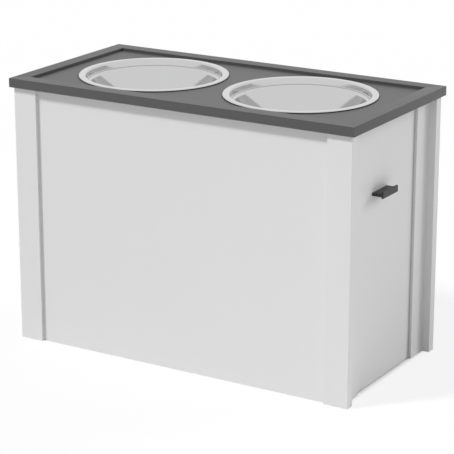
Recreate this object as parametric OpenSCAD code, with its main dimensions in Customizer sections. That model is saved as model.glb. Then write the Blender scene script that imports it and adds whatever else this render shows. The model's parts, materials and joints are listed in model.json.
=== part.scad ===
// Elevated dog feeder: two lift-out bowls in a rimmed top, over a cabinet with a pull-out storage drawer.
// X runs along the front from left to right, Y from front to back, Z up, in millimetres.
// The origin is the centre of the footprint, on the floor.

/* [Top] */
// Height of the top's upper edge above the floor
top_z = 425; // [390:1:500]
// Thickness of the tray board that carries the bowls
tray_t = 10; // [9:0.5:14]
// Height of the raised rim above the tray board
rim_h = 4.5; // [2.5:0.5:8]
// Width of the raised rim
rim_w = 24; // [20:1:26]
// Gap between the bowls and the rim at the two ends
bowl_end_gap = 27.5; // [24:0.5:80]
// Gap between the bowls and the rim at the front and the back
bowl_side_gap = 8.5; // [5:0.5:40]
// Gap between the two bowls
bowl_gap = 27; // [10:1:100]
// Overhang of the top past the cabinet, all round
overhang = 5.5; // [2:0.5:8]

/* [Bowls] */
// Diameter of a bowl over its rolled edge
bowl_d = 235; // [200:1:260]
// Width of the flange, rolled edge included
flange_w = 11.5; // [9:0.5:16]
// Height of the shoulder below the flange
step_h = 9.5; // [7:0.5:14]
// How far the shoulder draws the wall in
step_in = 9; // [8.5:0.5:12]
// How far the shoulder's side leans in on its way down
step_lean = 1; // [0.5:0.1:1.3]
// Radius of the bend from the flange into the shoulder
throat_bend_r = 3; // [2:0.5:3.5]
// Radius of the bend at the foot of the shoulder's side
foot_bend_r = 0.8; // [0.5:0.1:1]
// Radius of the bend from the shoulder into the wall
ledge_bend_r = 5.5; // [3:0.5:5.5]
// Depth of a bowl below its flange
bowl_depth = 65; // [45:1:90]
// How much smaller the radius of the flat bottom is than that of the wall below the shoulder
bowl_taper = 26; // [18:1:50]
// Radius between the bottom and the wall of a bowl
bowl_corner_r = 14; // [8:1:18]
// Thickness of the bowl's metal
bowl_t = 0.8; // [0.6:0.1:1]
// Radius of the rolled edge
roll_r = 1.15; // [1.1:0.05:2]
// Gap between a bowl and its cut-out, all round
cutout_gap = 1.2; // [0.6:0.1:2]

/* [Cabinet] */
// Thickness of the stiles
stile_t = 15; // [13:0.5:16]
// Width of the stiles of the front and the back
stile_w = 40; // [34:1:60]
// Width of the stiles of the two ends
end_stile_w = 40; // [36:1:46]
// Thickness of the panels that are let into the stiles, and of the drawer's face
panel_t = 10; // [8:0.5:12]
// How far the ends stand in from the ends of the front and the back
end_inset = 12; // [8:1:13]
// Thickness of the tongues that hold the panels and the tray
tongue_t = 4; // [3:0.5:5]
// Depth of the tongues
tongue_l = 6; // [4:0.5:8]
// Height of the bottom board above the floor
plinth_h = 30; // [24:1:50]
// Thickness of the bottom board
bottom_t = 12; // [9:0.5:16]
// Thickness of the boards that carry the runners
guide_t = 12; // [10:0.5:14]
// Width of the long cleats under the top and under the bottom board
cleat_w = 18; // [15:0.5:18]
// Height of the cleats and the tie rails
cleat_h = 15; // [12:0.5:20]
// Width of the tie rails at the two ends of the top
tie_w = 25; // [20:0.5:26]
// Room that the bottom cleats leave at each end for the cam discs
cleat_end_room = 20; // [16:1:60]

/* [Drawer] */
// Gap beside and below the drawer's face
face_gap = 1.5; // [1:0.5:3]
// Gap above the drawer's face
face_top_gap = 3; // [2:0.5:6]
// Gap between the closed drawer's face and the boards behind it
closing_gap = 0.5; // [0.3:0.1:2]
// Room behind the closed drawer
drawer_room = 45.5; // [5:0.5:100]
// Thickness of the drawer's sides, back and inner front
drawer_t = 12; // [10:0.5:15]
// Thickness of the drawer's bottom sheet
sheet_t = 4; // [3:0.5:6]
// Height of the bottom sheet above the lower edge of the drawer's sides
sheet_up = 10; // [8:1:20]
// Depth of the groove that holds the bottom sheet
sheet_groove = 6; // [3:0.5:7]
// Height of the drawer box above the bottom board
drawer_lift = 8; // [5:1:20]
// Room between the drawer box and the bowls above it
bowl_room = 18; // [5:1:60]

/* [Runners] */
// Room for a runner on each side of the drawer box
runner_room = 12.5; // [12:0.1:14]
// How much shorter the runners are than the drawer box
runner_short = 10; // [10:1:60]
// Distance of the runners behind the cabinet's opening
runner_setback = 3; // [2:0.5:6]
// Height of the cabinet runner's channel
channel_h = 22; // [18:0.5:26]
// Thickness of the runners' steel
rail_t = 1.2; // [1:0.1:1.5]
// Gap between a flange and the web it passes
rail_gap = 1.4; // [1:0.1:2]
// Gap between a roller and the flange it bears on
roller_gap = 0.3; // [0.2:0.05:0.5]
// Distance of a roller's axis from the end of its rail
roller_end = 12; // [11:0.5:20]
// Radius of the studs that the rollers turn on
stud_r = 2.5; // [2:0.1:3]
// Running clearance between a stud and its roller
stud_gap = 0.05; // [0.02:0.01:0.1]
// Distance between a roller and the web of its own rail
roller_stand = 0.8; // [0.5:0.1:1]
// Thickness of a stud's head
stud_head_t = 0.8; // [0.5:0.1:1]
// How far the drawer slides out before its rear rollers meet the stops
travel = 360; // [200:5:380]
// Height of the stops in the cabinet runners
stop_h = 2.5; // [2:0.1:4]

/* [Pull] */
// Width of the pull
pull_w = 48; // [44:1:120]
// How far the pull stands out from the drawer's face
pull_reach = 18.5; // [14:0.5:30]
// Thickness of the pull's shelf
shelf_t = 4.8; // [4:0.1:7]
// Height of the pull's lip
lip_h = 10; // [8:0.5:16]
// Thickness of the pull's lip
lip_t = 3; // [2:0.1:4]
// How far the lip reaches below the shelf
lip_drop = 2.2; // [0:0.1:4]
// Distance of the shelf's middle below the upper edge of the drawer box
pull_down = 40; // [20:1:80]
// Offset of the pull from the middle of the drawer's face, towards the back
pull_y = -24; // [-30:1:30]
// Distance between the pull's two screws
pull_pitch = 32; // [25:1:36]
// Radius of the pull's screws
pull_screw_r = 1.5; // [1.2:0.1:1.8]
// How deep these screws reach into the pull
pull_screw_in = 10; // [6:0.5:12]

/* [Fixings] */
// Radius of the wood screws
screw_r = 1.75; // [1.5:0.05:2]
// Radius of the screws' heads
head_r = 3.3; // [3:0.1:4]
// Thickness of the pan heads
head_t = 2; // [1.5:0.1:2.5]
// Thickness of the runner screws' low heads
low_head_t = 1; // [0.6:0.1:1.2]
// Distance of the screws in the drawer's face from the drawer's sides
face_screw_edge = 8; // [6:0.5:20]
// How deep the screws reach into the board that they hold
screw_in = 7; // [5:0.5:7.5]
// How deep the long screws and the guide boards' dowels reach into an edge
edge_screw_in = 20; // [12:1:24]
// How deep the runner screws reach into the boards
runner_screw_in = 9; // [6:0.5:9]
// Gap between a fixing and its hole, all round
hole_gap = 0.05; // [0.02:0.01:0.2]
// Radius of the dowels
dowel_r = 4; // [3:0.5:4]
// Length of the dowels
dowel_l = 30; // [24:1:32]
// How deep a dowel sits in the stile's face
dowel_in = 10; // [6:0.5:10]
// Wood left between a guide board's dowel and the end panel's tongue
guide_dowel_skin = 1; // [0.6:0.1:1.5]
// Radius of the cam discs
cam_r = 7.5; // [6:0.5:7.5]
// Wood left behind a cam disc
cam_skin = 2.5; // [2:0.5:4]
// Distance of a cam disc's centre from the joint that it pulls together
cam_reach = 24; // [20:0.5:26]
// Radius of the cam bolts' thread
cam_bolt_r = 3; // [2.5:0.1:3]
// How deep a cam bolt is screwed in
cam_bolt_in = 10; // [7:0.5:10]
// Height of the lower cam bolts above the floor
cam_low = 15; // [12:1:20]
// Distance of the upper cam bolts below the tie rails
cam_high_gap = 22; // [14:1:30]

/* [Hidden] */
$fn = 96;

WHITE = [0.86, 0.86, 0.86];
GREY = [0.3, 0.3, 0.31];
STEEL = [0.78, 0.79, 0.8];
DARK = [0.14, 0.14, 0.15];
WOOD = [0.78, 0.66, 0.48];
EPOXY = [0.9, 0.9, 0.88];
NYLON = [0.95, 0.95, 0.93];
ZINC = [0.66, 0.66, 0.64];

// Cabinet: outside sizes, then the faces that the other pieces meet
top_w = 2 * (bowl_d + bowl_end_gap + rim_w) + bowl_gap;
top_d = bowl_d + 2 * (bowl_side_gap + rim_w);
body_w = top_w - 2 * overhang;
body_d = top_d - 2 * overhang;
tray_z = top_z - rim_h;
body_h = tray_z - tray_t;
side_y = body_d / 2 - stile_t;
end_x = body_w / 2 - end_inset;
end_in = end_x - stile_t;
open_y = side_y - end_stile_w;
stile_mid_x = (end_x + end_in) / 2;
panel_x = body_w / 2 - stile_w;
tray_x = top_w / 2 - rim_w;
tray_y = top_d / 2 - rim_w;
bottom_top = plinth_h + bottom_t;
tie_in = end_in - tie_w;
cleat_y = side_y - cleat_w;
cleat_z = body_h - cleat_h;

// Cut through a face, so that no skin is left on it
cut = 1;
// Play at the blind end of a groove or a hole
end_play = 0.5;

// Bowl: radii are measured on the inside of the metal, heights down from the flange's upper face
bowl_x = (bowl_d + bowl_gap) / 2;
throat_r = bowl_d / 2 - flange_w;
shoulder_r = throat_r - step_in;
cutout_r = throat_r + bowl_t + cutout_gap;
rest_gap = 0.1;
bowl_z = tray_z + rest_gap + 2 * roll_r;
bowl_bottom = bowl_z - bowl_depth;

// Drawer: the box, its face, and the heights that follow from the bowls
drawer_z = bottom_top + drawer_lift;
drawer_top = bowl_bottom - bowl_room;
drawer_x1 = end_in + closing_gap;
drawer_x0 = drawer_room - end_in;
inner_x = drawer_x1 - drawer_t;
drawer_y = open_y - runner_room;
well_y = drawer_y - drawer_t;
face_x = drawer_x1 + panel_t;
face_y = open_y - face_gap;
pull_z = drawer_top - pull_down;
box_screw_z = spread(drawer_z, drawer_top, 3);
face_screw_y = well_y - face_screw_edge;
face_screw_z = [for (i = [0, 1]) (box_screw_z[i] + box_screw_z[i + 1]) / 2];

// Runners: at rest both rails start at the same place behind the opening
rail_x1 = end_in - runner_setback;
rail_x0 = rail_x1 - (drawer_x1 - drawer_x0) + runner_short;
rear_r = channel_h / 2 - rail_t - roller_gap;
front_r = rear_r - rail_t - roller_gap;
rear_axis = [rail_x0 + roller_end, drawer_z + channel_h / 2];
front_axis = [rail_x1 - roller_end, drawer_z + rail_t + roller_gap + front_r];
track_z = front_axis[1] + front_r + roller_gap;
drawer_web_y = drawer_y + rail_t;
channel_web_y = open_y - rail_t;
screw_pass = 0.4;
roller_w = channel_web_y - drawer_web_y - roller_stand - stud_gap - stud_head_t - low_head_t - screw_pass;
stop_rise = stop_h - roller_gap;
stop_x = rear_axis[0] + travel + sqrt(rear_r * rear_r - pow(rear_r - stop_rise, 2)) + roller_gap;
runner_screw_x = spread(rail_x0, rail_x1, 3);
channel_screw_z = drawer_z + channel_h / 2;
angle_screw_z = drawer_z + sheet_up / 2;

// Fixings: the radii of their holes, then their places
screw_hole = screw_r + hole_gap;
pull_hole = pull_screw_r + hole_gap;
head_hole = head_r + hole_gap;
dowel_hole = dowel_r + hole_gap;
bolt_hole = cam_bolt_r + hole_gap;
cam_z = [cam_low, cleat_z - cam_high_gap];
cam_y = side_y - cam_reach;
cam_depth = stile_t - cam_skin;
corner_dowel_z = spread(cam_z[0], cam_z[1], 2);
guide_mid_y = open_y + guide_t / 2;
guide_dowel_z = spread(bottom_top, drawer_top, 2);
guide_dowel_in = panel_t - tongue_t - guide_dowel_skin;
guide_dowel_l = guide_dowel_in + edge_screw_in;
guide_screw_x = spread(-end_in, end_in, 4);
cleat_mid_y = side_y - cleat_w / 2;
cleat_mid_z = cleat_z + cleat_h / 2;
plinth_mid_z = plinth_h - cleat_h / 2;
top_screw_x = spread(-tie_in, tie_in, 3);
tie_screw_y = side_y / 2;
tie_screw_x = end_in - tie_w / 2;
top_cleat_screw_x = spread(-tie_in, tie_in, 2);
bottom_cleat_screw_x = spread(-end_in, end_in, 3);
bottom_board_screw_x = spread(-end_in, end_in, 2);

// n places between two ends, each in the middle of one of n equal lengths
function spread(lo, hi, n) = [for (i = [0 : n - 1]) lo + (hi - lo) * (i + 0.5) / n];

// Angle at which a straight leaves the two rounds on either side of it, whose radii add up to reach
function lean(a, b, reach) = atan2(b[1] - a[1], b[0] - a[0]) - acos(reach / norm(b - a));

// Points of an arc about a centre, from one angle to another, in steps of four times those of the round bars
function arc(c, r, a0, a1) = let (n = ceil($fn * abs(a1 - a0) / 360 / 4))
    [for (i = [0 : n]) let (a = a0 + (a1 - a0) * i / n) c + r * [cos(a), sin(a)]];

// A block given by its low and high faces along each axis
module slab(x, y, z) {
    translate([x[0], y[0], z[0]]) cube([x[1] - x[0], y[1] - y[0], z[1] - z[0]]);
}

// Round bars from a point, along each axis
module rod_x(p, l, r) {
    translate(p) rotate([0, 90, 0]) cylinder(h = l, r = r);
}

module rod_y(p, l, r) {
    translate(p) rotate([-90, 0, 0]) cylinder(h = l, r = r);
}

module rod_z(p, l, r) {
    translate(p) cylinder(h = l, r = r);
}

// Pieces are drawn at the back and on the right, and turned over to the front or the left
module at_side(s) {
    if (s < 0) mirror([0, 1, 0]) children();
    else children();
}

module at_end(e) {
    if (e < 0) mirror([1, 0, 0]) children();
    else children();
}

module both_sides() {
    for (s = [-1, 1]) at_side(s) children();
}

module four_corners() {
    for (e = [-1, 1], s = [-1, 1]) at_end(e) at_side(s) children();
}

// Top: a tray board with two round cut-outs, tongued into four mitred rim rails
module tray_tongue(extra) {
    low = body_h + (tray_t - tongue_t) / 2;
    reach = tongue_l + extra;
    slab([-tray_x - reach, tray_x + reach], [-tray_y - reach, tray_y + reach], [low, low + tongue_t]);
}

module top_tray() {
    color(GREY) difference() {
        union() {
            slab([-tray_x, tray_x], [-tray_y, tray_y], [body_h, tray_z]);
            tray_tongue(0);
        }
        for (e = [-1, 1]) rod_z([e * bowl_x, 0, body_h - cut], tray_t + 2 * cut, cutout_r);
        both_sides() for (x = top_screw_x) rod_z([x, cleat_mid_y, body_h - cut], cut + screw_in, screw_hole);
        four_corners() rod_z([tie_screw_x, tie_screw_y, body_h - cut], cut + screw_in, screw_hole);
    }
}

// A rim rail along X with mitred ends, given by its outer edge's half length and distance from the middle
module rim_rail(half, y) {
    inner = half - rim_w;
    translate([0, 0, body_h]) linear_extrude(top_z - body_h)
        polygon([[-half, y], [half, y], [inner, y - rim_w], [-inner, y - rim_w]]);
}

module rim_long(s) {
    color(GREY) at_side(s) difference() {
        rim_rail(top_w / 2, top_d / 2);
        tray_tongue(end_play);
    }
}

module rim_short(e) {
    color(GREY) at_end(e) difference() {
        rotate([0, 0, -90]) rim_rail(top_d / 2, top_w / 2);
        tray_tongue(end_play);
    }
}

// Bowl: one spun profile, from the middle of its bottom over the shoulder and the flange to the rolled edge
module bowl(e) {
    base = -bowl_depth + bowl_t;
    corner = [shoulder_r - bowl_taper, base + bowl_corner_r];
    ledge = [shoulder_r + ledge_bend_r, -step_h - ledge_bend_r];
    foot = [throat_r - step_lean - foot_bend_r, -step_h + foot_bend_r];
    throat = [throat_r + throat_bend_r, -throat_bend_r];
    roll = [bowl_d / 2 - roll_r, -roll_r];
    wall_lean = lean(corner, ledge, bowl_corner_r + ledge_bend_r);
    side_lean = lean(foot, throat, foot_bend_r + throat_bend_r);
    roll_end = asin((roll_r - bowl_t) / roll_r);
    inside = concat([[0, base]],
        arc(corner, bowl_corner_r, -90, wall_lean), arc(ledge, ledge_bend_r, 180 + wall_lean, 90),
        arc(foot, foot_bend_r, -90, side_lean), arc(throat, throat_bend_r, 180 + side_lean, 90));
    edge = arc(roll, roll_r, 90, -180 - roll_end);
    outside = concat(
        arc(throat, throat_bend_r - bowl_t, 90, 180 + side_lean),
        arc(foot, foot_bend_r + bowl_t, side_lean, -90),
        arc(ledge, ledge_bend_r - bowl_t, 90, 180 + wall_lean),
        arc(corner, bowl_corner_r + bowl_t, wall_lean, -90),
        [[0, -bowl_depth]]);
    color(STEEL) translate([e * bowl_x, 0, bowl_z]) rotate_extrude() polygon(concat(inside, edge, outside));
}

// Front and back: a panel let into two stiles
module face_tongue(extra) {
    low = side_y + panel_t - tongue_t;
    reach = panel_x + tongue_l + extra;
    slab([-reach, reach], [low, low + tongue_t], [-extra, body_h + extra]);
}

module face_panel(s) {
    color(WHITE) at_side(s) difference() {
        union() {
            slab([-panel_x, panel_x], [side_y, side_y + panel_t], [0, body_h]);
            face_tongue(0);
        }
        for (x = top_cleat_screw_x) rod_y([x, side_y - cut, cleat_mid_z], cut + screw_in, screw_hole);
        for (x = bottom_cleat_screw_x) rod_y([x, side_y - cut, plinth_mid_z], cut + screw_in, screw_hole);
    }
}

module face_stile(e, s) {
    color(WHITE) at_end(e) at_side(s) difference() {
        slab([panel_x, body_w / 2], [side_y, body_d / 2], [0, body_h]);
        face_tongue(end_play);
        for (z = cam_z) rod_y([stile_mid_x, side_y - cut, z], cut + cam_bolt_in + end_play, bolt_hole);
        for (z = corner_dowel_z) rod_y([stile_mid_x, side_y - cut, z], cut + dowel_in + end_play, dowel_hole);
    }
}

// Ends: the left one has a fixed panel, the right one leaves its opening to the drawer
module end_tongue(extra) {
    low = end_in + panel_t - tongue_t;
    reach = open_y + tongue_l + extra;
    slab([low, low + tongue_t], [-reach, reach], [-extra, body_h + extra]);
}

module left_panel() {
    color(WHITE) at_end(-1) {
        slab([end_in, end_in + panel_t], [-open_y, open_y], [0, body_h]);
        end_tongue(0);
    }
}

module end_stile(e, s) {
    color(WHITE) at_end(e) at_side(s) difference() {
        slab([end_in, end_x], [open_y, side_y], [0, body_h]);
        if (e < 0) end_tongue(end_play);
        for (z = cam_z) {
            rod_x([end_in - cut, cam_y, z], cut + cam_depth + hole_gap, cam_r + hole_gap);
            rod_y([stile_mid_x, cam_y, z], cam_reach + cut, bolt_hole);
        }
        for (z = corner_dowel_z) {
            rod_y([stile_mid_x, side_y + dowel_in - dowel_l - end_play, z], dowel_l + end_play, dowel_hole);
        }
        for (z = guide_dowel_z) {
            rod_x([end_in - cut, guide_mid_y, z], cut + guide_dowel_in + hole_gap, dowel_hole);
        }
    }
}

// Inside: the bottom board on two cleats, the boards for the runners, and the frame that holds the top
module bottom_board() {
    color(WHITE) difference() {
        slab([-end_in, end_in], [-side_y, side_y], [plinth_h, bottom_top]);
        both_sides() {
            for (x = guide_screw_x) rod_z([x, guide_mid_y, plinth_h - cut], bottom_t + 2 * cut, screw_hole);
            for (x = bottom_board_screw_x) {
                rod_z([x, cleat_mid_y, plinth_h - cut], bottom_t + 2 * cut, screw_hole);
            }
        }
    }
}

module bottom_cleat(s) {
    half = end_in - cleat_end_room;
    color(WOOD) at_side(s) difference() {
        slab([-half, half], [cleat_y, side_y], [plinth_h - cleat_h, plinth_h]);
        for (x = bottom_cleat_screw_x) rod_y([x, cleat_y - cut, plinth_mid_z], cleat_w + 2 * cut, screw_hole);
        for (x = bottom_board_screw_x) {
            rod_z([x, cleat_mid_y, plinth_h - cleat_h - cut], cleat_h + 2 * cut, screw_hole);
        }
    }
}

module tie_rail(e) {
    color(WOOD) at_end(e) difference() {
        slab([tie_in, end_in], [-side_y, side_y], [cleat_z, body_h]);
        both_sides() rod_z([tie_screw_x, tie_screw_y, cleat_z - cut], cleat_h + 2 * cut, screw_hole);
    }
}

module top_cleat(s) {
    color(WOOD) at_side(s) difference() {
        slab([-tie_in, tie_in], [cleat_y, side_y], [cleat_z, body_h]);
        for (x = top_screw_x) rod_z([x, cleat_mid_y, cleat_z - cut], cleat_h + 2 * cut, screw_hole);
        for (x = top_cleat_screw_x) rod_y([x, cleat_y - cut, cleat_mid_z], cleat_w + 2 * cut, screw_hole);
    }
}

module guide_board(s) {
    deep = edge_screw_in + end_play;
    color(WHITE) at_side(s) difference() {
        slab([-end_in, end_in], [open_y, open_y + guide_t], [bottom_top, drawer_top]);
        for (x = runner_screw_x) {
            rod_y([x, open_y - cut, channel_screw_z], cut + runner_screw_in, screw_hole);
        }
        for (x = guide_screw_x) rod_z([x, guide_mid_y, bottom_top - cut], cut + edge_screw_in, screw_hole);
        for (e = [-1, 1], z = guide_dowel_z) {
            at_end(e) rod_x([end_in - deep, guide_mid_y, z], deep + cut, dowel_hole);
        }
    }
}

// Runners: a channel with a roller at its front on each guide board, and an angle with a roller at its rear
// on each side of the drawer. The angle's flange rides on the front roller, the rear roller in the channel.
module cabinet_runner(s) {
    rail = [rail_x0, rail_x1];
    flange = [drawer_web_y + rail_gap, open_y];
    channel_top = drawer_z + channel_h;
    color(EPOXY) at_side(s) {
        difference() {
            union() {
                slab(rail, [channel_web_y, open_y], [drawer_z, channel_top]);
                slab(rail, flange, [drawer_z, drawer_z + rail_t]);
                slab(rail, flange, [channel_top - rail_t, channel_top]);
                slab([stop_x, stop_x + rail_t], flange, [drawer_z, drawer_z + rail_t + stop_h]);
            }
            for (x = runner_screw_x) {
                rod_y([x, channel_web_y - cut, channel_screw_z], rail_t + 2 * cut, screw_hole);
            }
        }
        roller_stud(front_axis, channel_web_y, -1);
    }
}

module drawer_runner(s) {
    rail = [rail_x0, rail_x1];
    track_x0 = rear_axis[0] + rear_r + rail_t;
    color(EPOXY) at_side(s) {
        difference() {
            union() {
                slab(rail, [drawer_y, drawer_web_y], [drawer_z - rail_t, track_z + rail_t]);
                slab(rail, [well_y, drawer_web_y], [drawer_z - rail_t, drawer_z]);
                slab([track_x0, rail_x1], [drawer_y, channel_web_y - rail_gap], [track_z, track_z + rail_t]);
            }
            for (x = runner_screw_x) rod_y([x, drawer_y - cut, angle_screw_z], rail_t + 2 * cut, screw_hole);
        }
        roller_stud(rear_axis, drawer_web_y, 1);
    }
}

// A headed stud that stands on a web, towards the front (d = -1) or towards the back (d = 1)
module roller_stud(axis, web_y, d) {
    reach = roller_stand + roller_w + stud_gap;
    translate([axis[0], web_y, axis[1]]) rotate([-90 * d, 0, 0]) {
        cylinder(h = reach + stud_head_t, r = stud_r);
        translate([0, 0, reach]) cylinder(h = stud_head_t, r = stud_r + 1);
        cylinder(h = roller_stand - stud_gap, r = stud_r + 1);
    }
}

module roller(s, axis, r, web_y, d) {
    color(NYLON) at_side(s) translate([axis[0], web_y, axis[1]]) rotate([-90 * d, 0, 0])
        translate([0, 0, roller_stand]) difference() {
            cylinder(h = roller_w, r = r);
            translate([0, 0, -cut]) cylinder(h = roller_w + 2 * cut, r = stud_r + stud_gap);
        }
}

module cabinet_roller(s) {
    roller(s, front_axis, front_r, channel_web_y, -1);
}

module drawer_roller(s) {
    roller(s, rear_axis, rear_r, drawer_web_y, 1);
}

// Drawer: a box of four boards with its bottom sheet in grooves, and a face that fills the opening
module sheet(extra) {
    slab([drawer_x0 + drawer_t - sheet_groove - extra, inner_x + sheet_groove + extra],
        [-well_y - sheet_groove - extra, well_y + sheet_groove + extra],
        [drawer_z + sheet_up, drawer_z + sheet_up + sheet_t]);
}

module drawer_bottom() {
    color(WHITE) sheet(0);
}

module drawer_side(s) {
    color(WHITE) at_side(s) difference() {
        slab([drawer_x0, drawer_x1], [well_y, drawer_y], [drawer_z, drawer_top]);
        sheet(end_play);
        for (x = runner_screw_x) {
            rod_y([x, drawer_y - runner_screw_in, angle_screw_z], runner_screw_in + cut, screw_hole);
        }
        box_screw_places() {
            rod_y([0, -drawer_t - cut, 0], drawer_t + 2 * cut, screw_hole);
            rod_y([0, -head_t - hole_gap, 0], head_t + hole_gap + cut, head_hole);
        }
    }
}

module box_board(x0, x1) {
    difference() {
        slab([x0, x1], [-well_y, well_y], [drawer_z, drawer_top]);
        sheet(end_play);
        both_sides() box_screw_places() {
            rod_y([0, -drawer_t - edge_screw_in, 0], edge_screw_in + cut, screw_hole);
        }
        children();
    }
}

module drawer_back() {
    color(WHITE) box_board(drawer_x0, drawer_x0 + drawer_t);
}

module drawer_inner_front() {
    color(WHITE) box_board(inner_x, drawer_x1) {
        face_screw_places() rod_x([-cut, 0, 0], drawer_t + 2 * cut, screw_hole);
        pull_screw_places() rod_x([-cut, 0, 0], drawer_t + 2 * cut, pull_hole);
    }
}

module drawer_face() {
    color(WHITE) difference() {
        slab([drawer_x1, face_x], [-face_y, face_y], [face_gap, body_h - face_top_gap]);
        face_screw_places() rod_x([0, 0, 0], drawer_t + screw_in, screw_hole);
        pull_screw_places() rod_x([0, 0, 0], drawer_t + panel_t + cut, pull_hole);
    }
}

module pull() {
    low = pull_z - shelf_t / 2;
    x1 = face_x + pull_reach;
    y = [pull_y - pull_w / 2, pull_y + pull_w / 2];
    color(DARK) difference() {
        union() {
            slab([face_x, x1], y, [low, low + shelf_t]);
            slab([x1 - lip_t, x1], y, [low - lip_drop, low - lip_drop + lip_h]);
        }
        pull_screw_places() rod_x([0, 0, 0], drawer_t + panel_t + pull_screw_in, pull_hole);
    }
}

// Places of the drawer's screws, each with its head's seat at the origin
module face_screw_places() {
    for (y = [-face_screw_y, face_screw_y], z = face_screw_z) translate([inner_x, y, z]) children();
}

module pull_screw_places() {
    for (y = [-pull_pitch / 2, pull_pitch / 2]) translate([inner_x, pull_y + y, pull_z]) children();
}

module box_screw_places() {
    ends = [drawer_x0 + drawer_t / 2, drawer_x1 - drawer_t / 2];
    for (x = ends, z = box_screw_z) translate([x, drawer_y, z]) children();
}

// A screw that points up, with the underside of its head at the origin
module screw(l, r, head) {
    cylinder(h = l, r = r);
    translate([0, 0, -head]) cylinder(h = head, r = r - screw_r + head_r);
}

module pull_screws() {
    l = drawer_t + panel_t + pull_screw_in - end_play;
    color(ZINC) pull_screw_places() rotate([0, 90, 0]) screw(l, pull_screw_r, head_t);
}

module drawer_face_screws() {
    color(ZINC) face_screw_places() rotate([0, 90, 0]) screw(drawer_t + screw_in - end_play, screw_r, head_t);
}

module drawer_box_screws() {
    color(ZINC) both_sides() box_screw_places() translate([0, -head_t, 0]) rotate([90, 0, 0])
        screw(drawer_t - head_t + edge_screw_in - end_play, screw_r, head_t);
}

module drawer_runner_screws() {
    l = rail_t + runner_screw_in - end_play;
    color(ZINC) both_sides() for (x = runner_screw_x) {
        translate([x, drawer_web_y, angle_screw_z]) rotate([90, 0, 0]) screw(l, screw_r, low_head_t);
    }
}

module cabinet_runner_screws() {
    l = rail_t + runner_screw_in - end_play;
    color(ZINC) both_sides() for (x = runner_screw_x) {
        translate([x, channel_web_y, channel_screw_z]) rotate([-90, 0, 0]) screw(l, screw_r, low_head_t);
    }
}

// Fixings of the cabinet
module cam_discs() {
    color(ZINC) four_corners() for (z = cam_z) difference() {
        rod_x([end_in, cam_y, z], cam_depth, cam_r);
        rod_y([stile_mid_x, cam_y - cam_bolt_r, z], cam_r + cam_bolt_r + cut, bolt_hole);
        rod_x([end_in - cut, cam_y, z], cut + rail_t, cam_bolt_r);
    }
}

module cam_bolts() {
    color(ZINC) four_corners() for (z = cam_z) {
        rod_y([stile_mid_x, cam_y - cam_bolt_r + end_play, z], 2 * cam_bolt_r, cam_bolt_r);
        rod_y([stile_mid_x, cam_y, z], cam_reach, cam_bolt_r - end_play);
        rod_y([stile_mid_x, side_y, z], cam_bolt_in, cam_bolt_r);
    }
}

module corner_dowels() {
    y = side_y + dowel_in - dowel_l;
    color(WOOD) four_corners() for (z = corner_dowel_z) rod_y([stile_mid_x, y, z], dowel_l, dowel_r);
}

module guide_dowels() {
    color(WOOD) four_corners() for (z = guide_dowel_z) {
        rod_x([end_in - edge_screw_in, guide_mid_y, z], guide_dowel_l, dowel_r);
    }
}

module guide_screws() {
    l = bottom_t + edge_screw_in - end_play;
    color(ZINC) both_sides() for (x = guide_screw_x) {
        translate([x, guide_mid_y, plinth_h]) screw(l, screw_r, head_t);
    }
}

module top_screws() {
    l = cleat_h + screw_in - end_play;
    color(ZINC) {
        both_sides() for (x = top_screw_x) translate([x, cleat_mid_y, cleat_z]) screw(l, screw_r, head_t);
        four_corners() translate([tie_screw_x, tie_screw_y, cleat_z]) screw(l, screw_r, head_t);
    }
}

module top_cleat_screws() {
    l = cleat_w + screw_in - end_play;
    color(ZINC) both_sides() for (x = top_cleat_screw_x) {
        translate([x, cleat_y, cleat_mid_z]) rotate([-90, 0, 0]) screw(l, screw_r, head_t);
    }
}

module bottom_board_screws() {
    l = bottom_t + cleat_h - end_play;
    color(ZINC) both_sides() for (x = bottom_board_screw_x) {
        translate([x, cleat_mid_y, bottom_top]) rotate([180, 0, 0]) screw(l, screw_r, head_t);
    }
}

module bottom_cleat_screws() {
    l = cleat_w + screw_in - end_play;
    color(ZINC) both_sides() for (x = bottom_cleat_screw_x) {
        translate([x, cleat_y, plinth_mid_z]) rotate([-90, 0, 0]) screw(l, screw_r, head_t);
    }
}

top_tray();
rim_long(-1);  // rim_front
rim_long(1);  // rim_back
rim_short(-1);  // rim_left
rim_short(1);  // rim_right
bowl(-1);  // bowl_left
bowl(1);  // bowl_right
face_panel(-1);  // front_panel
face_stile(-1, -1);  // front_stile_left
face_stile(1, -1);  // front_stile_right
face_panel(1);  // back_panel
face_stile(-1, 1);  // back_stile_left
face_stile(1, 1);  // back_stile_right
left_panel();
end_stile(-1, -1);  // left_stile_front
end_stile(-1, 1);  // left_stile_back
end_stile(1, -1);  // right_stile_front
end_stile(1, 1);  // right_stile_back
bottom_board();
bottom_cleat(-1);  // bottom_cleat_front
bottom_cleat(1);  // bottom_cleat_back
tie_rail(-1);  // tie_rail_left
tie_rail(1);  // tie_rail_right
top_cleat(-1);  // top_cleat_front
top_cleat(1);  // top_cleat_back
guide_board(-1);  // guide_board_front
guide_board(1);  // guide_board_back
cabinet_runner(-1);  // cabinet_runner_front
cabinet_runner(1);  // cabinet_runner_back
cabinet_roller(-1);  // cabinet_roller_front
cabinet_roller(1);  // cabinet_roller_back
drawer_face();
drawer_inner_front();
drawer_side(-1);  // drawer_side_front
drawer_side(1);  // drawer_side_back
drawer_back();
drawer_bottom();
drawer_runner(-1);  // drawer_runner_front
drawer_runner(1);  // drawer_runner_back
drawer_roller(-1);  // drawer_roller_front
drawer_roller(1);  // drawer_roller_back
pull();
pull_screws();
drawer_face_screws();
drawer_box_screws();
drawer_runner_screws();
cabinet_runner_screws();
cam_discs();
cam_bolts();
corner_dowels();
guide_dowels();
guide_screws();
top_screws();
top_cleat_screws();
bottom_board_screws();
bottom_cleat_screws();
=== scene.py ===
import json
import math

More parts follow.
